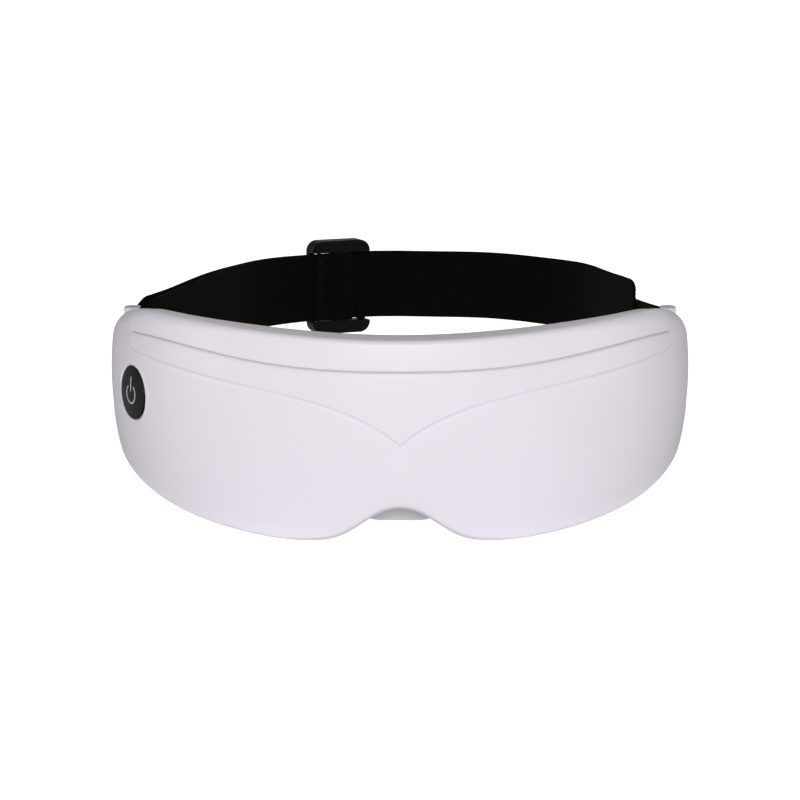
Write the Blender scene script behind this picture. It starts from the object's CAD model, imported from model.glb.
"""Looks of the eye massager mask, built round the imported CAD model.

Lengths are worked out in millimetres and angles in degrees, as in the CAD source, and
become metres when a mesh is made. Front is -Y, up is +Z, "left" is the -X side.
"""

import math

import bmesh
import bpy
import numpy as np
from mathutils import Matrix, Vector


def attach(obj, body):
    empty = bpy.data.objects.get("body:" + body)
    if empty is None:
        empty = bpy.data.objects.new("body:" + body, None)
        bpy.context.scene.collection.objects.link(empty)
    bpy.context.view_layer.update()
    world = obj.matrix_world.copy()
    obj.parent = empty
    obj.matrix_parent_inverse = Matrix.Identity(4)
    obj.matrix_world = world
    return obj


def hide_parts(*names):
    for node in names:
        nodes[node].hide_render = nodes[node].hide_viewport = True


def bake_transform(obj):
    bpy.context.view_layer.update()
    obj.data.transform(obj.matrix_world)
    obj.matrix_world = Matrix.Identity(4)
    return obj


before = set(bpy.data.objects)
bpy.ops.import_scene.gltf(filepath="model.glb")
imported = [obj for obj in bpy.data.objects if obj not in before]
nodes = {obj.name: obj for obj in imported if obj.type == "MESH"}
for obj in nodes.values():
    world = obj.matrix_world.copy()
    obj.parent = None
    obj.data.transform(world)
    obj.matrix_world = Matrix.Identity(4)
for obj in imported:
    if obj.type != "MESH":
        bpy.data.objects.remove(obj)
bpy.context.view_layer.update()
scene = bpy.context.scene
MM = 0.001

# ---- camera, light and floor ----

LOOKS_DOWN = 9.549  # degrees below level
WORLD_LIGHT, WORLD_SEEN = 0.17, 1.0
FLOOR_LIGHT, FLOOR_SEEN = 0.12, 0.95


def add_object(name, data):
    obj = bpy.data.objects.new(name, data)
    scene.collection.objects.link(obj)
    return obj


camera_data = bpy.data.cameras.new("camera")
camera_data.lens = 146.0
camera_data.sensor_width = 36.0
camera_data.clip_start, camera_data.clip_end = 0.05, 60.0
camera = add_object("camera", camera_data)
camera.location = (0.0, -1.10646, 0.21758)
camera.rotation_euler = (math.radians(90 - LOOKS_DOWN), 0.0, 0.0)
scene.camera = camera
scene.view_settings.view_transform = "Standard"
scene.view_settings.look = "None"


def area_light(name, place, aim, size, power, colour=(1.0, 1.0, 1.0)):
    """Rectangular lamp at place, turned to aim, in metres and watts."""
    data = bpy.data.lights.new(name, "AREA")
    data.shape = "RECTANGLE"
    data.size, data.size_y = size
    data.energy = power
    data.color = colour
    light = add_object(name, data)
    light.location = place
    light.rotation_euler = (Vector(aim) - Vector(place)).to_track_quat("-Z", "Y").to_euler()


area_light("key_light", (0.0, -1.75, 0.68), (0.0, -0.05, 0.03), (0.9, 0.5), 19.3,
           (1.0, 0.99, 1.0))
for side in (-1, 1):
    area_light("side_light", (1.16 * side, -0.31, 0.07), (0.0, 0.0, 0.04), (0.6, 0.3), 1.9)
area_light("back_light", (0.3, 1.7, 0.9), (0.0, 0.0, 0.04), (1.4, 0.9), 2.0)

# The background and the floor are seen white, but light the part dimly.
world = bpy.data.worlds.new("studio")
scene.world = world
world.use_nodes = True
background = world.node_tree.nodes["Background"]
background.inputs["Color"].default_value = (1.0, 1.0, 1.0, 1.0)
seen = world.node_tree.nodes.new("ShaderNodeLightPath")
brightness = world.node_tree.nodes.new("ShaderNodeMapRange")
brightness.inputs["To Min"].default_value = WORLD_LIGHT
brightness.inputs["To Max"].default_value = WORLD_SEEN
world.node_tree.links.new(seen.outputs["Is Camera Ray"], brightness.inputs["Value"])
world.node_tree.links.new(brightness.outputs[0], background.inputs["Strength"])

# ---- materials ----


class Shader:
    """A procedural material: noise in colour and roughness, and a bump made of layers."""

    def __init__(self, name, colour, rough, **sockets):
        self.material = bpy.data.materials.new(name)
        self.material.use_nodes = True
        self.tree = self.material.node_tree
        self.bsdf = self.tree.nodes["Principled BSDF"]
        self.colour = colour
        self.bsdf.inputs["Roughness"].default_value = rough
        self.rough = rough
        for socket, value in sockets.items():
            label = socket.replace("_", " ").title().replace("Ior", "IOR")
            self.bsdf.inputs[label].default_value = value
        self.coords = self.add("ShaderNodeTexCoord").outputs["Object"]
        self.height = None

    def add(self, kind, **settings):
        node = self.tree.nodes.new(kind)
        for key, value in settings.items():
            setattr(node, key, value)
        return node

    def link(self, source, target):
        self.tree.links.new(source, target)

    def value(self, socket, value):
        if isinstance(value, (int, float)):
            socket.default_value = value
        else:
            self.link(value, socket)

    def math(self, operation, a, b=0.0):
        node = self.add("ShaderNodeMath", operation=operation)
        self.value(node.inputs[0], a)
        self.value(node.inputs[1], b)
        return node.outputs[0]

    def noise(self, scale, detail=3.0, stretch=(1.0, 1.0, 1.0)):
        mapping = self.add("ShaderNodeMapping")
        mapping.inputs["Scale"].default_value = stretch
        self.link(self.coords, mapping.inputs["Vector"])
        node = self.add("ShaderNodeTexNoise")
        node.inputs["Scale"].default_value = scale
        node.inputs["Detail"].default_value = detail
        self.link(mapping.outputs[0], node.inputs["Vector"])
        return node.outputs["Fac"]

    def cells(self, scale):
        node = self.add("ShaderNodeTexVoronoi", feature="F1")
        node.inputs["Scale"].default_value = scale
        self.link(self.coords, node.inputs["Vector"])
        return node.outputs["Distance"]

    def wave(self, scale, direction, distortion=0.0):
        node = self.add("ShaderNodeTexWave", bands_direction=direction)
        node.inputs["Scale"].default_value = scale
        node.inputs["Distortion"].default_value = distortion
        node.inputs["Detail"].default_value = 1.0
        self.link(self.coords, node.inputs["Vector"])
        return node.outputs["Fac"]

    def spread(self, source, low, high, start=0.3, end=0.7):
        node = self.add("ShaderNodeMapRange")
        self.link(source, node.inputs["Value"])
        ends = {"From Min": start, "From Max": end, "To Min": low, "To Max": high}
        for key, value in ends.items():
            node.inputs[key].default_value = value
        return node.outputs[0]

    def tint(self, source, share, other=None, start=0.3, end=0.7):
        """Colour that moves by share between a darker and a lighter or another tone."""
        dark = [c * (1 - share) for c in self.colour]
        light = other or [min(1.0, c * (1 + share)) for c in self.colour]
        node = self.add("ShaderNodeMix", data_type="RGBA")
        self.link(self.spread(source, 0.0, 1.0, start, end), node.inputs["Factor"])
        node.inputs["A"].default_value = (*dark, 1.0)
        node.inputs["B"].default_value = (*light, 1.0)
        self.link(node.outputs["Result"], self.bsdf.inputs["Base Color"])
        return self

    def rough_by(self, source, share):
        smooth_end, rough_end = self.rough * (1 - share), min(1.0, self.rough * (1 + share))
        self.link(self.spread(source, smooth_end, rough_end), self.bsdf.inputs["Roughness"])
        return self

    def raise_by(self, source, amount):
        """Adds a layer to the bump, amount in millimetres."""
        layer = self.math("MULTIPLY", source, amount)
        self.height = layer if self.height is None else self.math("ADD", self.height, layer)
        return self

    def done(self):
        if self.height is not None:
            bump = self.add("ShaderNodeBump")
            bump.inputs["Strength"].default_value = 1.0
            bump.inputs["Distance"].default_value = MM
            self.link(self.height, bump.inputs["Height"])
            self.link(bump.outputs["Normal"], self.bsdf.inputs["Normal"])
        return self.material


def plastic(name, colour, rough, grain, share, **sockets):
    """Moulded plastic: grain is its fine bump in millimetres, share how much its colour moves."""
    made = Shader(name, colour, rough, **sockets)
    made.tint(made.noise(22), share).rough_by(made.noise(160), 0.12)
    made.raise_by(made.noise(2600, 2.0), grain)
    return made.raise_by(made.noise(70, 1.0), grain * 3).done()


def webbing(name, colour):
    made = Shader(name, colour, 0.9, sheen_weight=0.015, sheen_roughness=0.5,
                  specular_ior_level=0.08)
    ribs, picks = made.wave(310.0, "Z", 0.6), made.noise(1500, 2.0, (1.0, 1.0, 0.35))
    made.tint(made.math("MULTIPLY", ribs, picks), 0.45, start=0.1, end=0.6)
    made.rough_by(made.noise(300), 0.08)
    made.raise_by(ribs, 0.06).raise_by(picks, 0.11)
    return made.raise_by(made.noise(4200, 1.0), 0.05).done()


def leather(name, colour):
    made = Shader(name, colour, 0.5, specular_ior_level=0.35)
    made.tint(made.noise(90), 0.25).rough_by(made.noise(400), 0.2)
    return made.raise_by(made.cells(1100), 0.10).raise_by(made.noise(2600), 0.05).done()


def metal(name, colour, rough, stretch=(1.0, 1.0, 14.0)):
    made = Shader(name, colour, rough, metallic=1.0)
    brushed = made.noise(500, 3.0, stretch)
    made.tint(brushed, 0.12).rough_by(brushed, 0.3)
    return made.raise_by(brushed, 0.006).done()


def circuit(name, colour):
    made = Shader(name, colour, 0.32, coat_weight=0.5)
    tracks = made.wave(420.0, "X", 5.0)
    made.tint(tracks, 0.1, other=[c * 1.9 for c in colour], start=0.75, end=0.85)
    return made.rough_by(made.noise(300), 0.2).raise_by(tracks, 0.02).done()


shell_white = plastic("shell_plastic", (0.835, 0.795, 0.86), 0.36, 0.0015, 0.008,
                      specular_ior_level=0.3)
groove_grey = plastic("groove_plastic", (0.60, 0.57, 0.61), 0.5, 0.0015, 0.008,
                      specular_ior_level=0.2)
housing_white = plastic("housing_plastic", (0.80, 0.78, 0.815), 0.42, 0.002, 0.01,
                        specular_ior_level=0.3)
anchor_white = plastic("anchor_plastic", (0.74, 0.73, 0.76), 0.42, 0.003, 0.015)
flap_grey = plastic("flap_rubber", (0.80, 0.775, 0.80), 0.55, 0.004, 0.03,
                    subsurface_weight=0.06)
button_black = plastic("button_plastic", (0.009, 0.0078, 0.0092), 0.34, 0.002, 0.1,
                       specular_ior_level=0.12)
icon_grey = plastic("icon_plastic", (0.50, 0.47, 0.48), 0.4, 0.003, 0.04)
buckle_black = plastic("buckle_plastic", (0.0030, 0.0027, 0.0032), 0.42, 0.006, 0.2,
                       specular_ior_level=0.16)
strap_black = webbing("strap_webbing", (0.0022, 0.0019, 0.0023))
thread_black = webbing("strap_thread", (0.012, 0.011, 0.013))
cushion_black = leather("cushion_leather", (0.022, 0.021, 0.024))
piping_black = leather("piping_leather", (0.013, 0.012, 0.014))
pad_grey = plastic("pad_silicone", (0.052, 0.048, 0.058), 0.5, 0.006, 0.08,
                   subsurface_weight=0.03)
magnet_steel = metal("magnet_steel", (0.70, 0.71, 0.73), 0.36)
screw_steel = metal("screw_steel", (0.55, 0.56, 0.58), 0.3, (6.0, 1.0, 6.0))
pin_steel = metal("pin_steel", (0.60, 0.61, 0.63), 0.25)
can_steel = metal("motor_steel", (0.62, 0.62, 0.64), 0.3)
weight_alloy = metal("weight_alloy", (0.40, 0.38, 0.36), 0.45)
film_orange = circuit("film_polyimide", (0.42, 0.15, 0.03))
board_green = circuit("board_laminate", (0.010, 0.085, 0.030))
chip_black = plastic("chip_epoxy", (0.018, 0.018, 0.020), 0.5, 0.008, 0.15)
buzzer_black = plastic("buzzer_plastic", (0.020, 0.020, 0.022), 0.4, 0.006, 0.15)
foam_grey = plastic("foam_pad", (0.15, 0.15, 0.16), 0.9, 0.12, 0.2)
cell_blue = plastic("cell_wrap", (0.22, 0.27, 0.34), 0.3, 0.01, 0.08, coat_weight=0.4)
rubber_dark = plastic("sleeve_rubber", (0.024, 0.024, 0.028), 0.7, 0.02, 0.15)
dome_clear = plastic("dome_silicone", (0.60, 0.58, 0.62), 0.45, 0.004, 0.04,
                     subsurface_weight=0.1)
switch_grey = plastic("switch_plastic", (0.07, 0.07, 0.08), 0.4, 0.006, 0.1)
wire_red = plastic("wire_sheath", (0.38, 0.025, 0.025), 0.42, 0.006, 0.08)

# ---- shape rules shared with the CAD source ----

HALF_W, DEPTH, TEMPLE_Y, CROWN_Z, CROWN_R = 97.5, 80.0, -20.0, 46.5, 110.0
BUTTON_A, BUTTON_Z, BUTTON_R = -65.0, 43.0, 8.85
SCREWS = ((24.0, 62.5), (54.0, 18.0))
WALL, SEAM_SHARE, NOTCH_A, NOTCH_H = 2.0, 0.45, 21, 12.0
VEE_Z, VEE_RISE, VEE_REACH, VEE_SLOPE = 33.4, 13.2, 9.7, 0.17


def sin(a):
    return np.sin(np.radians(a))


def cos(a):
    return np.cos(np.radians(a))


def ease(t):
    u = np.clip(t, 0.0, 1.0)
    return u * u * (3 - 2 * u)


def crown(z):
    return (z - CROWN_Z) ** 2 / (2 * CROWN_R)


def shell_pt(a, d, z):
    """Points at plan angle a and height z, d millimetres behind the crowned face."""
    a, d, z = np.broadcast_arrays(*(np.asarray(v, float) for v in (a, d, z)))
    inset = crown(z) + d
    return np.stack([(HALF_W - inset) * sin(a), TEMPLE_Y - (DEPTH - inset) * cos(a), z], -1)


def shell_t(a):
    """Depth of the cover and the housing together."""
    return 8.5 + 7.5 * cos(np.minimum(1.7 * np.abs(a), 90)) ** 1.6


def seam_d(a):
    return SEAM_SHARE * shell_t(a)


def top_edge(a):
    u = np.abs(a)
    return 66.8 + 2 * (1 - cos(3 * np.minimum(u, 60))) - 0.0115 * np.maximum(u - 60, 0) ** 2


def low_edge(a):
    u = np.abs(a)
    notch = NOTCH_H * np.maximum((1 + cos(180 * np.minimum(u, NOTCH_A) / NOTCH_A)) / 2, 0) ** 1.65
    lobe = 0.0182 * np.maximum(u - NOTCH_A, 0) ** 1.7
    return np.where(u < NOTCH_A, notch, lobe) + 0.12 * np.maximum(u - 80, 0) ** 2


def crease_z(a):
    """Height of the groove between the brow band and the face."""
    u = np.minimum(np.abs(a), 60)
    return 56.9 + 6.2 * ((1 - cos(3 * u)) / 2) ** 1.45


def vee_z(a):
    """Height of the V line, the lower edge of the two wings."""
    u = np.abs(a)
    return VEE_Z + VEE_RISE * (1 - np.exp(-u / VEE_REACH)) + VEE_SLOPE * u


def degree_arc(a):
    """Length of one degree along the shell in plan."""
    return np.radians(1.0) * np.sqrt((HALF_W * cos(a)) ** 2 + (DEPTH * sin(a)) ** 2)


def turn_at(a):
    """Plan angle of the shell's outward normal."""
    return math.degrees(math.atan2(sin(a) / HALF_W, cos(a) / DEPTH))


def face_frame(a, z, d=0.0):
    """Matrix in millimetres whose -Y is the outward normal of the shell at that place."""
    place = shell_pt(a, d, z)
    return Matrix.Translation(Vector(place)) @ Matrix.Rotation(math.radians(turn_at(a)), 4, "Z")


# ---- mesh helpers ----


def clean(mesh, merge=None):
    """Merges points closer than merge metres, then turns the faces outward."""
    made = bmesh.new()
    made.from_mesh(mesh)
    if merge:
        bmesh.ops.remove_doubles(made, verts=made.verts, dist=merge)
    bmesh.ops.recalc_face_normals(made, faces=made.faces)
    made.to_mesh(mesh)
    made.free()


def piece(name, points, faces, material, slot=None, body="root", crisp=35.0):
    """New piece from points in millimetres; edges that turn by more than crisp stay sharp."""
    mesh = bpy.data.meshes.new(name)
    mesh.from_pydata((np.asarray(points, float).reshape(-1, 3) * MM).tolist(), [], faces)
    clean(mesh)
    obj = add_object(name, mesh)
    mesh.materials.append(material)
    smooth(obj, crisp)
    if body:
        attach(obj, body)
    return obj


def smooth(obj, crisp=35.0):
    mesh = obj.data
    mesh.polygons.foreach_set("use_smooth", [True] * len(mesh.polygons))
    mesh.set_sharp_from_angle(angle=math.radians(crisp))


def apply_modifiers(obj):
    """Bakes the modifiers into the mesh."""
    graph = bpy.context.evaluated_depsgraph_get()
    made = bpy.data.meshes.new_from_object(obj.evaluated_get(graph), depsgraph=graph)
    obj.modifiers.clear()
    old, obj.data = obj.data, made
    bpy.data.meshes.remove(old)


def quads(rows, columns, wrap_rows=False, wrap_columns=False, start=0):
    """Faces of a grid of points that are numbered row by row from start."""
    i = np.arange(rows if wrap_rows else rows - 1)[:, None]
    j = np.arange(columns if wrap_columns else columns - 1)[None, :]
    i2, j2 = (i + 1) % rows, (j + 1) % columns
    corners = i * columns + j, i2 * columns + j, i2 * columns + j2, i * columns + j2
    grid = np.stack(np.broadcast_arrays(*corners), -1)
    return (grid.reshape(-1, 4) + start).tolist()


def rings(name, loops, material, **others):
    """Closed rings of points, skinned one to the next, with both ends closed."""
    loops = np.asarray(loops, float)
    count, size = loops.shape[:2]
    faces = quads(count, size, wrap_columns=True)
    faces += [list(range(size)), list(range((count - 1) * size, count * size))]
    return piece(name, loops, faces, material, **others)


def channel(name, outer, inner, material, slot):
    """Open-sided shell. Each station's outer and inner lines both end on the open side."""
    count, m, k = outer.shape[0], outer.shape[1], inner.shape[1]
    size = m + k
    points = np.concatenate([outer, inner[:, ::-1]], 1)
    faces = quads(count, size, wrap_columns=True)
    for s in (0, (count - 1) * size):
        faces.append([s + i for i in range(m)])
        faces.append([s + m + i for i in range(k)])
        faces.append([s, s + m - 1, s + m, s + size - 1])
    return piece(name, points, faces, material, slot)


def cut(obj, cutters):
    """Subtracts closed meshes, then removes them."""
    for cutter in cutters:
        change = obj.modifiers.new("cut", "BOOLEAN")
        change.operation = "DIFFERENCE"
        change.solver = "EXACT"
        change.object = cutter
    apply_modifiers(obj)
    for cutter in cutters:
        bpy.data.objects.remove(cutter)
    smooth(obj)


def tool_shape(outline, y0, y1, matrix):
    """Prism for cutting: an XZ outline run along Y from y0 to y1 in matrix's frame."""
    made = [matrix @ Vector((x, y, z)) for y in (y0, y1) for x, z in outline]
    n = len(outline)
    faces = [[i, (i + 1) % n, n + (i + 1) % n, n + i] for i in range(n)]
    faces += [list(range(n)), list(range(n, 2 * n))]
    return piece("cutter", [list(p) for p in made], faces, shell_white, body=None)


def row(first, last, n):
    return np.linspace(first, last, n)[None, :]


def softened(line, times):
    """A closed line of points with its corners smoothed."""
    for _ in range(times):
        line = 0.5 * line + 0.25 * (np.roll(line, 1, 0) + np.roll(line, -1, 0))
    return line


def circle(r, n):
    turns = [2 * math.pi * i / n for i in range(n)]
    return [(r * math.cos(t), r * math.sin(t)) for t in turns]


def rounded_box(w, h, r, n=8, centre=(0.0, 0.0)):
    points = []
    for q, (sx, sz) in enumerate(((1, 1), (-1, 1), (-1, -1), (1, -1))):
        for i in range(n + 1):
            t = math.radians(90 * q + 90 * i / n)
            points.append((centre[0] + sx * (w / 2 - r) + r * math.cos(t),
                           centre[1] + sz * (h / 2 - r) + r * math.sin(t)))
    return points


def bead(name, path, radius, material, slot, sides=10):
    """Round bead along a closed line of points."""
    ahead = np.roll(path, -1, 0) - np.roll(path, 1, 0)
    ahead /= np.linalg.norm(ahead, axis=1)[:, None]
    side = np.cross(ahead, [0.0, 0.0, 1.0])
    weak = np.linalg.norm(side, axis=1) < 0.05
    side[weak] = np.cross(ahead[weak], [1.0, 0.0, 0.0])
    side /= np.linalg.norm(side, axis=1)[:, None]
    up = np.cross(side, ahead)
    t = np.linspace(0, 2 * np.pi, sides, endpoint=False)
    loops = (path[:, None] + radius * np.cos(t)[None, :, None] * side[:, None]
             + radius * np.sin(t)[None, :, None] * up[:, None])
    faces = quads(len(path), sides, wrap_rows=True, wrap_columns=True)
    piece(name, loops, faces, material, slot)


def round_edges(obj, width):
    """Bevels the edges that turn by more than 40 degrees."""
    bevel = obj.modifiers.new("bevel", "BEVEL")
    bevel.width, bevel.segments, bevel.limit_method = width * MM, 3, "ANGLE"
    bevel.angle_limit = math.radians(40)


# ---- front cover ----

WING_END, CREASE_END = 67.5, 66.0
WING_RISE, WING_CORNER, BROW_RISE, NOSE_RISE = 0.50, 3.5, 0.52, 1.0
VEE_DEPTH, CREASE_DEPTH, CREASE_DISH, GROOVE_HALF = 0.16, 0.55, 0.12, 0.6
LIP_RISE, LIP_R, LIP_DROP = 0.22, 9.95, 0.4
FLARE, COVER_END, HOUSING_END = 0.07, 90.0, 92.0
button_frame = face_frame(BUTTON_A, BUTTON_Z)
button_centre = np.array(button_frame.translation)
button_side = np.array(button_frame.to_3x3().col[0])


def face_height(a, z):
    """How far the front face stands proud of the plain crowned surface."""
    u = np.abs(a)
    arc, r = degree_arc(u), WING_CORNER
    vee_slope = (VEE_RISE / VEE_REACH * np.exp(-u / VEE_REACH) + VEE_SLOPE) / arc
    over_vee = (z - vee_z(a)) / np.sqrt(1 + vee_slope**2)
    over_crease = z - crease_z(a)
    from_end, from_edge = (WING_END - u) * arc, np.minimum(over_vee, -over_crease)
    inside = np.where((from_end < r) & (from_edge < r),
                      r - np.hypot(r - from_end, r - from_edge), np.minimum(from_end, from_edge))
    wing = WING_RISE * ease((inside + 0.7) / 1.4)
    below = over_vee < -over_crease
    vee_line = -VEE_DEPTH * np.exp(-((inside + 0.5) / 0.6) ** 2) * below * ease((72 - u) / 4)
    brow = BROW_RISE * ease((over_crease + 0.4) / 0.8) * ease((74 - u) / 8)
    fade = ease((CREASE_END + 0.8 - u) / 2.0)
    crease = -fade * (CREASE_DEPTH * np.exp(-((over_crease / 0.38) ** 2))
                      + CREASE_DISH * np.exp(-((over_crease / 1.5) ** 2)))
    nose = NOSE_RISE * np.exp(-((a / 5.2) ** 2)) * ease((z - 9) / 6) * ease((33 - z) / 12)
    place = shell_pt(a, 0.0, z)
    off = np.hypot((place - button_centre) @ button_side, z - BUTTON_Z)
    off = np.where(a < -40, off, 99.0)
    lip = LIP_RISE * np.exp(-(((off - LIP_R) / 0.5) ** 2)) - LIP_DROP * ease((9.8 - off) / 0.8)
    return wing + vee_line + brow + crease + nose + lip


def station_angles(end):
    """Angles from temple to temple, closer together where the face has detail and at the ends."""
    half = list(np.arange(0, 57.5, 0.8)) + list(np.arange(58, 72, 0.24))
    half += list(np.arange(72.5, end - 1.2, 0.8))
    half += [end - s / 1.4 for s in (1.6, 1.25, 0.95, 0.65, 0.4, 0.2, 0.07, 0.0)]
    return np.array([-a for a in half[:0:-1]] + half)


def end_round(a, end, r=1.6):
    """How far the outline draws in at the rounded temple ends."""
    s = np.clip((end - np.abs(a)) * 1.4, 0, r)
    return r - np.sqrt(np.maximum(r * r - (r - s) ** 2, 0))


def make_cover():
    """Front cover as a channel: lower edge, face with its groove, upper edge, then the inside."""
    a = station_angles(COVER_END)[:, None]
    u, e = np.abs(a), end_round(a, COVER_END)
    low, top, seam = low_edge(a) + e, top_edge(a) - e, seam_d(a)
    under = 0.35 + 0.3 * ease((55 - u) / 15) + 0.65 * ease((27 - u) / 10)
    edge_z = 1.6 + 3.2 * ease((u - 25) / 55)
    edge_d = np.minimum(1.6 + 1.4 * ease((u - 25) / 55), 0.8 * seam)
    z_a, z_t = low + under, top - edge_z
    z_c = np.minimum(crease_z(a), z_t - 3)
    z_v = np.minimum(vee_z(a), z_c - 2.5)
    t1 = row(0, 1, 72)[:, :-1]
    t2 = row(0, 1, 52)[:, :-1]
    t3 = row(0, 1, 24)[:, 1:]
    groove = row(-GROOVE_HALF, GROOVE_HALF, 13)
    face_z = np.concatenate([z_a + (z_v - z_a) * (1 - (1 - t1) ** 1.5),
                             z_v + (z_c - GROOVE_HALF - z_v) * (0.5 - 0.5 * np.cos(np.pi * t2)),
                             z_c + groove,
                             z_c + GROOVE_HALF + (z_t - z_c - GROOVE_HALF) * t3**1.3], 1)
    q = row(0, 90, 9)
    q2 = row(0, 90, 13)
    flat_b = np.concatenate([seam, 0.5 * (seam + under)], 1)
    flat_t = np.concatenate([0.5 * (seam + edge_d), seam], 1)
    lean = 0.8 + 1.0 * ease((27 - u) / 10)
    d = np.concatenate([flat_b, lean * under * (1 - sin(q[:, :-1]) ** 1.6), 0 * face_z,
                        edge_d * (1 - cos(q2[:, 1:])), flat_t], 1)
    z = np.concatenate([low + 0 * flat_b, low + under * (1 - cos(q[:, :-1]) ** 1.6), face_z,
                        top - edge_z * (1 - sin(q2[:, 1:])), top + 0 * flat_t], 1)
    steep = (low_edge(u + 0.5) - low_edge(u - 0.5)) / degree_arc(a)
    above = (z - low) / np.sqrt(1 + steep**2)
    band = 3.7 - 1.7 * ease((u - 50) / 25)
    flare = FLARE * np.log1p(np.exp((band - above) / 0.35)) * ease((u - 12) / 10)
    shift = (e - face_height(a + 0 * z, z) - flare) * np.clip(1 - d / seam, 0, 1)
    outer = shell_pt(a, d + shift, z)
    b = a * 88.0 / COVER_END
    low_i, top_i = low_edge(b) + WALL, top_edge(b) - WALL
    inner_z = low_i + (top_i - low_i) * row(0, 1, 10)
    inner = np.concatenate([shell_pt(b, seam_d(b), low_i), shell_pt(b, WALL, inner_z),
                            shell_pt(b, seam_d(b), top_i)], 1)
    cover = channel("cover_shell", outer, inner, shell_white, "shell")
    cover.data.materials.append(groove_grey)
    dark_rows = 6
    first = flat_b.shape[1] + q[:, :-1].shape[1] + t1.shape[1] + t2.shape[1]
    first += (groove.shape[1] - 1 - dark_rows) // 2
    size = z.shape[1] + inner.shape[1]
    for i, angle in enumerate(a[:-1, 0]):
        for j in range(first, first + dark_rows):
            cover.data.polygons[i * size + j].material_index = int(abs(angle) < CREASE_END)
    cut(cover, [tool_shape(circle(BUTTON_R + 0.2, 128), -3.0, 3.4, button_frame)])
    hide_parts("front_cover")


def make_housing():
    """Rear housing as a channel that faces the cover, with screw holes and the socket's opening."""
    step_low, step_top, gap, r = 0.8, 0.3, 0.15, 1.3
    a = station_angles(HOUSING_END)[:, None]
    e = end_round(a, HOUSING_END, 1.2)
    t = shell_t(a) - e
    low, top, seam = low_edge(a) + step_low + e, top_edge(a) - step_top - e, seam_d(a) + gap
    q = row(0, 90, 8)
    rise = row(0, 1, 40)[:, 1:-1]
    lip = 0.25
    d = np.concatenate([seam, seam + lip, (seam + t) / 2, t - r + r * sin(q), t + 0 * rise,
                        t - r + r * cos(q), (seam + t) / 2, seam + lip, seam], 1)
    z = np.concatenate([low + lip, low, low, low + r * (1 - cos(q)),
                        low + r + (top - low - 2 * r) * rise,
                        top - r * (1 - sin(q)), top, top, top - lip], 1)
    outer = shell_pt(a, d, z)
    b = a * 90.0 / HOUSING_END
    low_i, top_i = low_edge(b) + (WALL + step_low), top_edge(b) - (WALL + step_top)
    inner_z = low_i + (top_i - low_i) * row(0, 1, 10)
    inner = np.concatenate([shell_pt(b, seam_d(b) + gap, low_i),
                            shell_pt(b, shell_t(b) - WALL, inner_z),
                            shell_pt(b, seam_d(b) + gap, top_i)], 1)
    housing = channel("housing_shell", outer, inner, housing_white, "shell")
    tools = []
    for s in (-1, 1):
        for angle, z0 in SCREWS:
            here, thick = face_frame(s * angle, z0), float(shell_t(angle))
            tools.append(tool_shape(circle(2.1, 40), thick - 1.3, thick + 3, here))
            tools.append(tool_shape(circle(1.15, 32), thick - 4, thick - 1.2, here))
    usb_a, usb_z, usb_d = 42.0, 8.0, 6.2
    tilt = math.asin((CROWN_Z - usb_z) / CROWN_R)
    down = Matrix.Rotation(tilt, 4, "X") @ Matrix.Rotation(math.radians(90), 4, "X")
    here = face_frame(usb_a, usb_z, usb_d) @ down
    tools.append(tool_shape(rounded_box(7.8, 2.7, 1.3), -3.5, 8.5, here))
    cut(housing, tools)
    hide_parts("rear_housing")


make_cover()
make_housing()

# ---- nose flap ----


def make_flap():
    """Soft saddle under the notch: a bell-shaped outline, pillowed across its thickness."""
    t = np.linspace(0, 1, 90, endpoint=False)
    key = np.array([(-7, 4.7), (0, 4.7), (7, 4.7), (10.4, 5.4), (11.5, 7.0), (9.8, 9.0), (7, 10.8),
                    (3.5, 12.2), (0, 12.6), (-3.5, 12.2), (-7, 10.8), (-9.8, 9.0), (-11.5, 7.0),
                    (-10.4, 5.4)], float)
    k = np.concatenate([key, key[:1]])
    where = np.concatenate([[0], np.cumsum(np.hypot(*np.diff(k, axis=0).T))])
    outline = np.stack([np.interp(t * where[-1], where, k[:, i]) for i in (0, 1)], 1)
    outline = softened(outline, 4)
    centre = np.array([0.0, 8.3])
    loops = []
    for y, shrink in ((-76.65, 1.3), (-76.72, 0.9), (-76.55, 0.45), (-76.2, 0.15), (-75.6, 0.0),
                      (-74.4, 0.0), (-73.8, 0.15), (-73.45, 0.45), (-73.32, 0.9), (-73.4, 1.3)):
        away = outline - centre
        size = np.linalg.norm(away, axis=1)[:, None]
        ring = centre + away * (1 - shrink / size)
        loops.append(np.stack([ring[:, 0], np.full(len(ring), y), ring[:, 1]], 1))
    flap = rings("nose_saddle", loops, flap_grey, slot="trim")
    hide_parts("nose_flap")


make_flap()

# ---- face cushion ----

EYE_A, EYE_Z, EYE_W, EYE_H = 27.0, 38.0, 44.0, 29.0
VOXEL, SINK, PRESSURE, SIM_FRAMES, MAX_GROWTH = 2.6, 0.55, 4.0, 20, 1.5
EYE_SEAM, RIM_SEAM = 4.2, 6.0
EYE_X = float(shell_pt(EYE_A, 16.0, EYE_Z)[0])


def shell_coords(p):
    """Angle and depth behind the face of points in millimetres."""
    x, y, z = p[:, 0], p[:, 1] - TEMPLE_Y, p[:, 2]
    i = np.full(len(x), 12.0)
    for _ in range(25):
        f = (x / (HALF_W - i)) ** 2 + (y / (DEPTH - i)) ** 2 - 1
        g = 2 * x * x / (HALF_W - i) ** 3 + 2 * y * y / (DEPTH - i) ** 3
        i = np.clip(i - f / np.maximum(g, 1e-9), -5, 60)
    a = np.degrees(np.arctan2(x / (HALF_W - i), -y / (DEPTH - i)))
    return a, i - crown(z)


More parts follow.
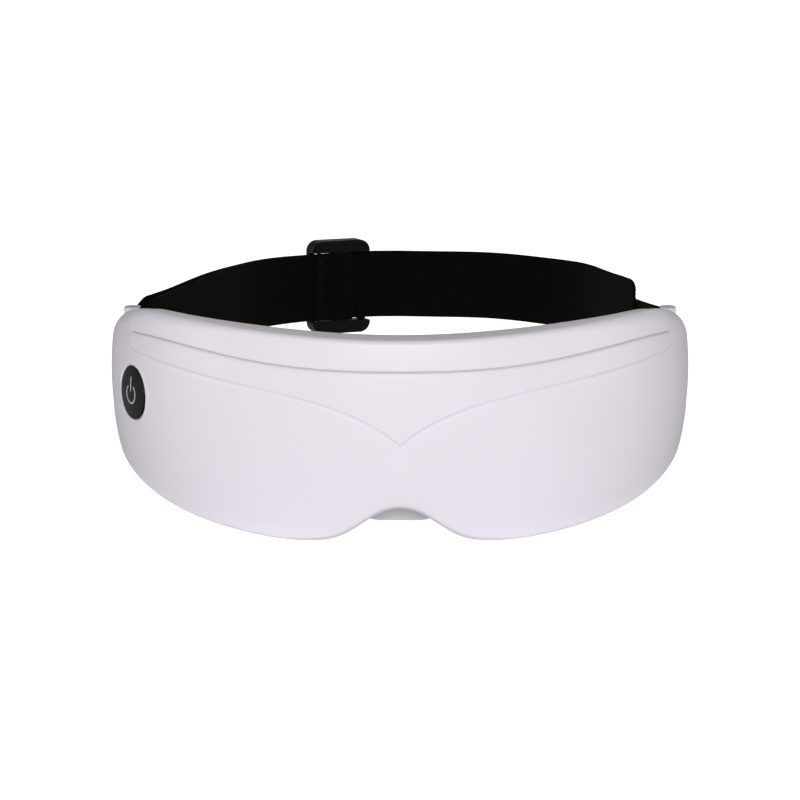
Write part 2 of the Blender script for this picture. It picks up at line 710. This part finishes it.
def eye_distance(x, z, w=EYE_W, h=EYE_H):
    """Signed distance from the stadium outline of the nearer eye opening, positive outside it."""
    dx = np.maximum(np.abs(np.abs(x) - EYE_X) - (w - h) / 2, 0)
    return np.hypot(dx, z - EYE_Z) - h / 2


def get_vectors(obj, kind):
    found = np.empty(len(obj.data.vertices) * 3, np.float32)
    obj.data.vertices.foreach_get(kind, found)
    return found.reshape(-1, 3).astype(float)


def get_points(obj):
    return get_vectors(obj, "co") / MM


def set_points(obj, co):
    obj.data.vertices.foreach_set("co", (co * MM).astype(np.float32).ravel())
    obj.data.update()


def make_cushion():
    """The CAD cushion, blown up a little as cloth, with sewn seams and a crowned roll."""
    mesh = nodes["face_cushion"].data.copy()
    mesh.name = "cushion_pad"
    mesh.materials.clear()
    mesh.materials.append(cushion_black)
    cushion = add_object("cushion_pad", mesh)
    remesh = cushion.modifiers.new("remesh", "REMESH")
    remesh.mode = "VOXEL"
    remesh.voxel_size = VOXEL * MM
    apply_modifiers(cushion)
    set_points(cushion, get_points(cushion) - SINK * get_vectors(cushion, "normal"))
    start = get_points(cushion)
    cloth = cushion.modifiers.new("cloth", "CLOTH")
    cloth.settings.use_pressure = True
    cloth.settings.uniform_pressure_force = PRESSURE
    cloth.settings.effector_weights.gravity = 0.0
    cloth.point_cache.frame_start, cloth.point_cache.frame_end = 1, SIM_FRAMES
    for f in range(1, SIM_FRAMES + 1):
        scene.frame_set(f)
    apply_modifiers(cushion)
    scene.frame_set(1)
    grown = get_points(cushion) - start
    reach = np.linalg.norm(grown, axis=1)[:, None]
    set_points(cushion, start + grown * np.minimum(1.0, MAX_GROWTH / np.maximum(reach, 1e-6)))
    soften = cushion.modifiers.new("soften", "SMOOTH")
    soften.factor, soften.iterations = 0.5, 3
    divide = cushion.modifiers.new("divide", "SUBSURF")
    divide.levels = divide.render_levels = 1
    apply_modifiers(cushion)
    p, n = get_points(cushion), get_vectors(cushion, "normal")
    a, d = shell_coords(p)
    back = ease((d - shell_t(a) - 4.0) / 2.5)
    rim = np.minimum(top_edge(a) - 3.5 - p[:, 2], p[:, 2] - low_edge(a) - 3)
    rim = np.minimum(rim, (80 - np.abs(a)) * 1.2)
    eye = eye_distance(p[:, 0], p[:, 2])
    seam = 0.75 * np.exp(-(((eye - EYE_SEAM) / 0.7) ** 2))
    seam = seam + 0.65 * np.exp(-(((rim - RIM_SEAM) / 0.7) ** 2)) * (eye > 5)
    pucker = 0.10 * np.sin(p[:, 0] * 2.1 + p[:, 2] * 0.7) * np.exp(-(((eye - EYE_SEAM) / 2.5) ** 2))
    crowned = 0.5 * np.exp(-(((np.minimum(rim - RIM_SEAM, 14) - 7) / 4.5) ** 2)) * (eye > EYE_SEAM)
    p = p + n * ((crowned + pucker - seam) * back)[:, None]
    a, d = shell_coords(p)
    nearest = shell_t(a) + 0.32
    p = np.where((d < nearest)[:, None], shell_pt(a, nearest, p[:, 2]), p)
    set_points(cushion, p)
    smooth(cushion, 60)
    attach(cushion, "root")
    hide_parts("face_cushion")


def eye_outline(s, grow, n=96):
    """Points of the stadium round one eye opening, in X and Z."""
    r, straight = EYE_H / 2 + grow, (EYE_W - EYE_H) / 2
    t = np.linspace(0, 2 * np.pi, n, endpoint=False)
    x = s * EYE_X + straight * np.clip(np.cos(t) * 3.0, -1, 1) + r * np.cos(t)
    return x, EYE_Z + r * np.sin(t)


def on_plan(x, z, behind):
    """Points at X and Z, that far behind the housing's back face."""
    a = np.degrees(np.arcsin(np.clip(x / (HALF_W - crown(z) - 14), -1, 1)))
    for _ in range(8):
        i = crown(z) + shell_t(a) + behind
        a = np.degrees(np.arcsin(np.clip(x / (HALF_W - i), -1, 1)))
    return shell_pt(a, shell_t(a) + behind, z)


def make_piping():
    """Beads of piping round the eye openings and round the cushion's rim."""
    for s, side in ((-1, "left"), (1, "right")):
        x, z = eye_outline(s, 0.35)
        bead(f"eye_piping_{side}", on_plan(x, z, 7.6), 0.75, piping_black, "cushion")
    side_a, side_rows = 78.9, 24
    a = np.linspace(-78.5, 78.5, 220)
    top, low = top_edge(a) - 4.1, low_edge(a) + 3.6
    z_end = np.linspace(top[-1], low[-1], side_rows + 2)[1:-1]
    line_a = np.concatenate([a, np.full(side_rows, side_a), a[::-1], np.full(side_rows, -side_a)])
    line_z = np.concatenate([top, z_end, low[::-1], z_end[::-1]])
    line_a, line_z = softened(line_a, 6), softened(line_z, 6)
    line = shell_pt(line_a, shell_t(line_a) + 1.6, line_z)
    bead("rim_piping", line, 0.8, piping_black, "cushion")


def make_eye_pad(s, side):
    """Silicone pad with a rolled rim and a collar round each magnet stud."""
    sides, stud_a, stud_z = 128, 4.6, 8
    rows = np.concatenate([[0.0], np.linspace(0.03, 0.9, 30), [0.93, 0.955, 0.975, 0.99, 1.0]])
    x1, z1 = eye_outline(s, -0.65, sides)
    x = s * EYE_X + rows[:, None] * (x1 - s * EYE_X)[None, :]
    z = EYE_Z + rows[:, None] * (z1 - EYE_Z)[None, :]
    edge = -eye_distance(x, z, EYE_W - 1.2, EYE_H - 1.2)
    face = 2.9 - 0.9 * (1 - np.clip(edge / 0.9, 0, 1)) ** 2
    face = face + 0.35 * np.exp(-(((edge - 2.0) / 0.8) ** 2))
    for i in range(-2, 3):
        for j in range(-1, 2):
            if abs(i) + abs(j) < 3:
                angle, zz = s * (EYE_A + i * stud_a), EYE_Z + j * stud_z
                c = shell_pt(angle, shell_t(angle) + 2.5, zz)
                off = np.hypot((x - c[0]) / math.cos(math.radians(turn_at(angle))), z - zz)
                face = face + 0.55 * np.exp(-(((off - 2.1) / 0.45) ** 2))
    front = on_plan(x, z, face)
    rim = on_plan(x1, z1, 0.85)
    count = len(rows)
    points = np.concatenate([front.reshape(-1, 3), rim])
    faces = quads(count, sides, wrap_columns=True)
    faces += quads(2, sides, wrap_columns=True, start=(count - 1) * sides)
    faces.append([count * sides + i for i in range(sides)])
    pad = piece(f"silicone_pad_{side}", points, faces, pad_grey, "silicone")
    clean(pad.data, 1e-6)
    smooth(pad)
    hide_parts(f"eye_pad_{side}")


make_cushion()
make_piping()
make_eye_pad(-1, "left")
make_eye_pad(1, "right")

# ---- strap ----

PIN_X, PIN_Y, HOLE_R = 91.0, -11.5, 1.7
LOOP_C, LOOP_R, BAND_T, BAND_Z, BAND_W = np.array([4.5, 30.0]), 70.0, 1.3, 59.0, 24.8
BAR_GAP, BAR_T, BAR_HALF, GATHERS = 0.3, 1.7, 1.9, 3.5
LOOP_Z0, LOOP_Z1 = 50.1, 64.1
BAND_R = LOOP_R - BAND_T / 2
RETURN_R = BAND_R - BAND_T - 0.3
EYELET_R = HOLE_R + BAND_T / 2
TAB_R = LOOP_R + 0.1 + BAND_T
BUCKLE_A, STEP_LEN, TAB_OVERLAP = 113.8, 37.4, 10.0
pin_left, pin_right = np.array([-PIN_X, PIN_Y]), np.array([PIN_X, PIN_Y])


# Each run leaves its pin's eyelet straight and meets the round loop where it is a tangent.
def plan_angle(p):
    return math.degrees(math.atan2(p[1] - LOOP_C[1], p[0] - LOOP_C[0]))


def away(p):
    return float(np.hypot(*(p - LOOP_C)))


def arccos(x):
    return math.degrees(math.acos(x))


LEFT_A = 360 + plan_angle(pin_left) - arccos((BAND_R - EYELET_R) / away(pin_left))
RETURN_A = 360 + plan_angle(pin_left) - arccos((RETURN_R + EYELET_R) / away(pin_left))
RIGHT_A = plan_angle(pin_right) + arccos(TAB_R / away(pin_right))


def radial(a):
    return np.stack([cos(a), sin(a)], -1)


TAB_AHEAD, TAB_OUT = np.array([sin(RIGHT_A), -cos(RIGHT_A)]), radial(RIGHT_A)


# The band widens from the eyelet's slot to its full width, s millimetres from the pin.
def band_top(s):
    return LOOP_Z1 + 3.4 * ease((s - 3) / 10) + 3.9 * ease((s - 3) / 72)


def band_low(s):
    return LOOP_Z0 - 1.8 * ease((s - 3) / 10) - 1.7 * ease((s - 3) / 72)


def band_edges(s, full_from):
    """Lower and upper edge, at their full width beyond full_from."""
    s = np.maximum(s, 0)
    full = s > full_from
    return (np.where(full, BAND_Z - BAND_W / 2, band_low(s)),
            np.where(full, BAND_Z + BAND_W / 2, band_top(s)))


def round_run(centre, r, turn, normal):
    """Stations on an arc, or on a spiral where r is a list."""
    return np.concatenate([centre + np.asarray(r)[..., None] * radial(turn), normal[:, None]], 1)


def straight(p0, p1, normal_a, n):
    f = np.linspace(0, 1, n)[:, None]
    return np.concatenate([p0 + (p1 - p0) * f, np.full((n, 1), normal_a)], 1)


def ribbon(name, stations, z0, z1, thick, ribs=15, body="root", wave=None):
    """Flat elastic webbing with ribs along it. Stations are X, Y and the outward normal's angle."""
    rows = ribs * 5 + 1
    v = row(0, 1, rows)
    rib = 0.10 * np.cos(2 * np.pi * ribs * v) - 0.06
    edge = np.minimum(v, 1 - v) * (z1 - z0)[:, None]
    rounded = np.sqrt(np.clip(1 - (1 - np.clip(edge / 0.6, 0, 1)) ** 2, 0.04, 1))
    half = thick / 2 * rounded + rib * ease(edge / 1.2)
    z = z0[:, None] + (z1 - z0)[:, None] * v
    out = np.stack([cos(stations[:, 2]), sin(stations[:, 2]), 0 * stations[:, 0]], 1)[:, None]
    x, y = (np.repeat(stations[:, k:k + 1], rows, 1) for k in (0, 1))
    middle = np.stack([x, y, z], -1)
    if wave is not None:
        middle = middle + out * wave(v)[..., None]
    outer, inner = middle + out * half[..., None], middle - out * half[..., None]
    loops = np.concatenate([outer, inner[:, ::-1]], 1)
    return rings(name, loops, strap_black, slot="webbing", body=body, crisp=60.0)


def gathered(amount):
    """Waves across the webbing where it is squeezed into its eyelet."""
    return lambda v: amount[:, None] * np.cos(2 * np.pi * GATHERS * v)


def run_length(stations):
    """Distance along the webbing from its first station."""
    steps = np.hypot(*np.diff(stations[:, :2], axis=0).T)
    return np.concatenate([[0.0], np.cumsum(steps)])


def make_band():
    """Main run: from the left pin's eyelet, round the loop, to the step under the tab."""
    a0 = LEFT_A
    eye_turn = np.linspace(a0 - 180, a0, 25)
    hook = round_run(pin_left, EYELET_R, eye_turn, eye_turn)
    p0 = pin_left + EYELET_R * radial(a0)
    p1 = LOOP_C + BAND_R * radial(a0)
    run = straight(p0, p1, a0, 54)[1:]
    turn = np.linspace(a0, RIGHT_A, 150)[1:]
    arc = round_run(LOOP_C, BAND_R, turn, turn)
    s = np.linspace(0, STEP_LEN, 34)[1:]
    tail = LOOP_C + BAND_R * TAB_OUT + s[:, None] * TAB_AHEAD
    tail = np.concatenate([tail, np.full((len(s), 1), RIGHT_A)], 1)
    stations = np.concatenate([hook, run, arc, tail])
    reach = run_length(stations)
    s_pin = reach - reach[len(hook) - 1]
    z0, z1 = band_edges(s_pin, np.hypot(*(p1 - p0)))
    cut_in = 2.0 * (np.maximum(reach - reach[-1] + 5, 0) / 5) ** 3
    ripple = 0.12 * np.sin(reach / 7.3) * ease(s_pin / 30) * ease((reach[-1] - reach) / 20)
    gather = 0.32 * ease((s_pin + 2) / 6) * (1 - ease((s_pin - 4) / 34))
    band = ribbon("band_webbing", stations, z0 + cut_in + ripple, z1 - cut_in + ripple, BAND_T,
                  wave=gathered(gather))
    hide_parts("strap_band")


def make_return():
    """Doubled run: from the left pin, inside the band, round the slider's bar and sewn back."""
    a0 = RETURN_A
    p0 = pin_left - EYELET_R * radial(a0)
    p1 = LOOP_C + RETURN_R * radial(a0)
    run = straight(p0, p1, a0, 54)
    bar_r = RETURN_R - BAND_T / 2 - BAR_GAP - BAR_T / 2
    turn_r = RETURN_R - bar_r
    bar_end = BUCKLE_A - math.degrees((BAR_HALF + 0.35) / bar_r)
    turn = np.linspace(a0, bar_end, 52)[1:]
    arc = round_run(LOOP_C, RETURN_R, turn, turn)
    corner = LOOP_C + bar_r * radial(bar_end)
    swing = np.linspace(0, 180, 17)[1:-1]
    t = math.radians(bar_end)
    out, along = radial(bar_end), np.array([math.sin(t), -math.cos(t)])
    wrap = np.stack([corner + turn_r * (cos(t) * out + sin(t) * along) for t in swing])
    wrap = np.concatenate([wrap, (bar_end - swing)[:, None]], 1)
    fold = np.linspace(bar_end, BUCKLE_A + 8.6, 22)
    lift = ease((fold - BUCKLE_A - 2.0) / 3.2)
    fold_r = (bar_r - turn_r) + (RETURN_R - BAND_T - 0.12 - bar_r + turn_r) * lift
    back = round_run(LOOP_C, fold_r, fold, fold - 180)
    stations = np.concatenate([run, arc, wrap, back])
    reach = run_length(stations)
    z0, z1 = band_edges(reach, np.hypot(*(p1 - p0)))
    z0, z1 = z0 + 0.05, z1 - 0.05
    gather = 0.28 * ease((reach + 1) / 5) * (1 - ease((reach - 5) / 34))
    strip = ribbon("return_webbing", stations, z0, z1, BAND_T, body=None, wave=gathered(gather))
    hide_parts("strap_return")
    away_from_pin = (p0 - p1) / np.hypot(*(p0 - p1))
    start, end = p1 + 13.0 * away_from_pin, LOOP_C + RETURN_R * radial(BUCKLE_A + 9.0)
    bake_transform(strip)


def make_tab():
    """Narrow tab: sewn on the band's end, round the right pin and back."""
    ahead, out = TAB_AHEAD, TAB_OUT
    origin = LOOP_C + TAB_R * out
    length = float(np.dot(pin_right - origin, ahead))
    s0 = STEP_LEN - TAB_OVERLAP
    u = np.concatenate([np.linspace(s0, STEP_LEN, 10), np.linspace(STEP_LEN, length, 26)[1:]])
    tab_t, apart = 1.22, 0.66
    w = apart + (EYELET_R - apart) * ease((u - STEP_LEN) / (length - STEP_LEN))
    slope = np.degrees(np.arctan(np.gradient(w, u)))
    swing = np.linspace(90, -90, 25)[1:-1]
    one = origin + u[:, None] * ahead + w[:, None] * out
    one = np.concatenate([one, (RIGHT_A + slope)[:, None]], 1)
    bend = np.stack([pin_right + EYELET_R * (sin(t) * out + cos(t) * ahead) for t in swing])
    bend = np.concatenate([bend, (RIGHT_A - 90 + swing)[:, None]], 1)
    two = np.concatenate([origin + u[::-1, None] * ahead - w[::-1, None] * out,
                          (RIGHT_A - 180 - slope[::-1])[:, None]], 1)
    stations = np.concatenate([one, bend, two])
    reach = run_length(stations)
    low, top = np.full(len(reach), LOOP_Z0), np.full(len(reach), LOOP_Z1)
    tab = ribbon("tab_webbing", stations, low, top, tab_t, ribs=9)
    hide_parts("strap_tab")


def stitches(name, lines, frame_at, body="root", pitch=2.3, length=1.7, r=0.2, sides=6):
    """Rows of thread stitches on lines between points of a flat frame that frame_at places."""
    points, faces = [], []
    for (x0, z0), (x1, z1) in lines:
        total = math.hypot(x1 - x0, z1 - z0)
        count = max(1, round(total / pitch))
        for i in range(count):
            m = (i + 0.5) / count
            start = len(points)
            rows = ((-0.5, 0.05), (-0.42, 0.75), (-0.2, 1.0), (0.2, 1.0), (0.42, 0.75), (0.5, 0.05))
            for f, fat in rows:
                along = m + f * length / total
                x, z = x0 + (x1 - x0) * along, z0 + (z1 - z0) * along
                nx, nz = -(z1 - z0) / total, (x1 - x0) / total
                for k in range(sides):
                    t = 2 * math.pi * k / sides
                    points.append(frame_at(x + nx * r * fat * math.cos(t),
                                           z + nz * r * fat * math.cos(t),
                                           r * fat * math.sin(t) - 0.12 * (1 - fat)))
            faces += quads(len(rows), sides, wrap_columns=True, start=start)
            last = start + (len(rows) - 1) * sides
            faces += [[s + k for k in range(sides)] for s in (start, last)]
    piece(name, points, faces, thread_black, "webbing", body)


def box_stitch(w, h):
    a, b, c, d = (-w / 2, -h / 2), (w / 2, -h / 2), (w / 2, h / 2), (-w / 2, h / 2)
    return [(a, b), (b, c), (c, d), (d, a), (a, c), (b, d)]


make_band()
make_return()
make_tab()

def on_tab(x, z, lift):
    flat = LOOP_C + (TAB_R + 1.36 + lift) * TAB_OUT + (STEP_LEN - 5 + x) * TAB_AHEAD
    return [flat[0], flat[1], (LOOP_Z0 + LOOP_Z1) / 2 + z]


def on_fold(x, z, lift):
    r = RETURN_R - 1.5 * BAND_T - 0.2 - lift
    angle = BUCKLE_A + 7.0 + math.degrees(x / r)
    flat = LOOP_C + r * radial(angle)
    return [flat[0], flat[1], BAND_Z + z]


stitches("tab_stitches", box_stitch(7.0, 10.5), on_tab)
stitches("fold_stitches", [((x, -11), (x, 11)) for x in (0, 1.3)], on_fold, body="slider")

# ---- slider ----


def make_slider():
    """Three-bar slider, cut from one block that both runs of webbing pass through."""
    z0, h, w, rail, bar, end_bar = 41.7, 34.6, 23.0, 4.4, BAR_T, 2.4
    slot_h, past = h - 2 * rail, 5
    r0 = RETURN_R - BAND_T / 2 - BAR_GAP - bar
    r1 = math.sqrt(LOOP_R**2 - (w / 2 - end_bar) ** 2) + 0.3
    middle = z0 + h / 2
    spin = Matrix.Rotation(math.radians(BUCKLE_A - 90), 4, "Z")
    spin = Matrix.Translation(Vector((*LOOP_C, 0))) @ spin

    def solid(outline, y0, y1):
        return tool_shape([(x, z + middle) for x, z in outline], y0, y1, spin)

    slider = solid(rounded_box(w, h, 4.0, 10), r0, r1 + bar)
    slider.name = "slider_frame"
    slider.data.materials.clear()
    slider.data.materials.append(buckle_black)
    side_x = (w - end_bar * 2) / 2
    gap_w = side_x - BAR_HALF
    for s in (-1, 1):
        gap = rounded_box(gap_w, slot_h, 1.2, 6, (s * (BAR_HALF + gap_w / 2), 0))
        cut(slider, [solid(gap, r0 - past, r1 + bar + past)])
    cut(slider, [solid(rounded_box(w + 8, slot_h, 0.3, 2), r0 + bar, r1)])
    for s in (-1, 1):
        mouth = rounded_box(6.0, slot_h, 0.3, 2, (s * (side_x + 2.9), 0))
        cut(slider, [solid(mouth, r0 - past, r1)])
    cut(slider, [solid(rounded_box(5.0, slot_h, 0.3, 2), r1 - 0.5, r1 + bar + past)])
    round_edges(slider, 0.5)
    apply_modifiers(slider)
    smooth(slider, 40)
    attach(slider, "slider")
    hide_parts("slider_buckle")


make_slider()

# ---- power button ----


def lathe(name, profile, matrix, material, slot, body, sides=128):
    """Turns a list of radius and depth about the matrix's Y axis."""
    t = np.linspace(0, 2 * np.pi, sides, endpoint=False)
    loops = []
    for r, y in profile:
        r = max(r, 0.02)
        loops.append([list(matrix @ Vector((r * math.cos(k), y, r * math.sin(k)))) for k in t])
    return rings(name, loops, material, slot=slot, body=body, crisp=50)


def make_button():
    """Crowned cap with a flange behind the cover, and the power sign laid into its face."""
    flange, e, crown_h = BUTTON_R + 0.55, 0.35, 0.3
    face = [((BUTTON_R - e) * k / 14, -crown_h + 0.6 * (k / 14) ** 2) for k in range(15)]
    corner = [(BUTTON_R - e + e * math.sin(q), crown_h + e * (1 - math.cos(q)))
              for q in (math.radians(turn) for turn in range(15, 91, 15))]
    rest = [(BUTTON_R, 3.05), (flange - 0.1, 3.05), (flange, 3.15), (flange, 3.4), (1.5, 3.4),
            (1.5, 3.6), (0, 3.6)]
    cap = lathe("button_cap", face + corner + rest, button_frame, button_black, "button", "button")
    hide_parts("power_button")

    def dish(x, z):
        return -crown_h + 0.6 * (math.hypot(x, z) / (BUTTON_R - 0.25)) ** 2 - 0.03

    icon_r, icon_low, sides = 3.1, 0.4, 8
    ring = [math.radians(90 + t) for t in np.linspace(35, 325, 61)]
    lines = [[(icon_r * math.cos(t), icon_r * math.sin(t) - icon_low) for t in ring],
             [(0.0, -icon_low + z) for z in np.linspace(0.75, 5.7, 24)]]
    points, faces = [], []
    for line in lines:
        start, n = len(points), len(line)
        for i, (x, z) in enumerate(line):
            x2, z2 = line[min(i + 1, n - 1)]
            x1, z1 = line[max(i - 1, 0)]
            size = math.hypot(x2 - x1, z2 - z1)
            nx, nz = -(z2 - z1) / size, (x2 - x1) / size
            fat = math.sqrt(max(0.0, 1 - max(0, (2 - min(i, n - 1 - i)) / 2.2) ** 2))
            for k in range(sides):
                t = 2 * math.pi * k / sides
                w, up = 0.30 * fat * math.cos(t), 0.09 * fat * math.sin(t)
                px, pz = x + nx * w, z + nz * w
                points.append(list(button_frame @ Vector((px, dish(px, pz) - up, pz))))
        faces += quads(n, sides, wrap_columns=True, start=start)
        last = start + (n - 1) * sides
        faces += [[s + k for k in range(sides)] for s in (start, last)]
    icon = piece("icon_inlay", points, faces, icon_grey, "icon", "button", 70)
    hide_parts("power_icon")


make_button()

# ---- CAD nodes that keep their own shape ----

KEPT = {
    "housing_screws": screw_steel,
    "battery_cell": cell_blue,
    "battery_pad": foam_grey,
    "circuit_board": board_green,
    "board_chips": chip_black,
    "buzzer": buzzer_black,
    "usb_socket": can_steel,
    "button_dome": dome_clear,
    "tact_switch": switch_grey,
    "switch_board": board_green,
    "wire_leads": wire_red,
}
KEPT_PAIRS = {
    "massage_magnets": magnet_steel,
    "heating_film": film_orange,
    "motor": can_steel,
    "motor_shaft": pin_steel,
    "eccentric_weight": weight_alloy,
    "motor_sleeve": rubber_dark,
    "strap_anchor": anchor_white,
    "strap_pin": pin_steel,
}
BEVELS = {"strap_anchor": 0.45, "strap_pin": 0.3, "battery_cell": 0.6, "board_chips": 0.15,
          "usb_socket": 0.2, "battery_pad": 0.2, "tact_switch": 0.15}


def finish_node(name, kind, finish):
    obj = nodes[name]
    obj.data.materials.clear()
    obj.data.materials.append(finish)
    if kind in BEVELS:
        round_edges(obj, BEVELS[kind])


for name, finish in KEPT.items():
    finish_node(name, name, finish)
for kind, finish in KEPT_PAIRS.items():
    for side in ("left", "right"):
        finish_node(f"{kind}_{side}", kind, finish)

# ---- floor ----


def make_floor():
    """Pale paper a hair below the part, wide enough to reach past the picture."""
    made = Shader("floor_paper", (0.9, 0.9, 0.905), 0.6)
    made.tint(made.noise(3), 0.005)
    made.bsdf.inputs["Emission Color"].default_value = (1.0, 1.0, 1.0, 1.0)
    seen = made.add("ShaderNodeLightPath").outputs["Is Camera Ray"]
    glow = made.spread(seen, FLOOR_LIGHT, FLOOR_SEEN, 0.0, 1.0)
    made.link(glow, made.bsdf.inputs["Emission Strength"])
    made.bsdf.inputs["Specular IOR Level"].default_value = 0.2
    size = 26000.0
    floor = piece("floor", [(-size, -size, 0), (size, -size, 0), (size, size, 0), (-size, size, 0)],
                  [[0, 1, 2, 3]], made.done(), body=None)
    floor.location.z = -0.0002


make_floor()

bpy.context.view_layer.update()
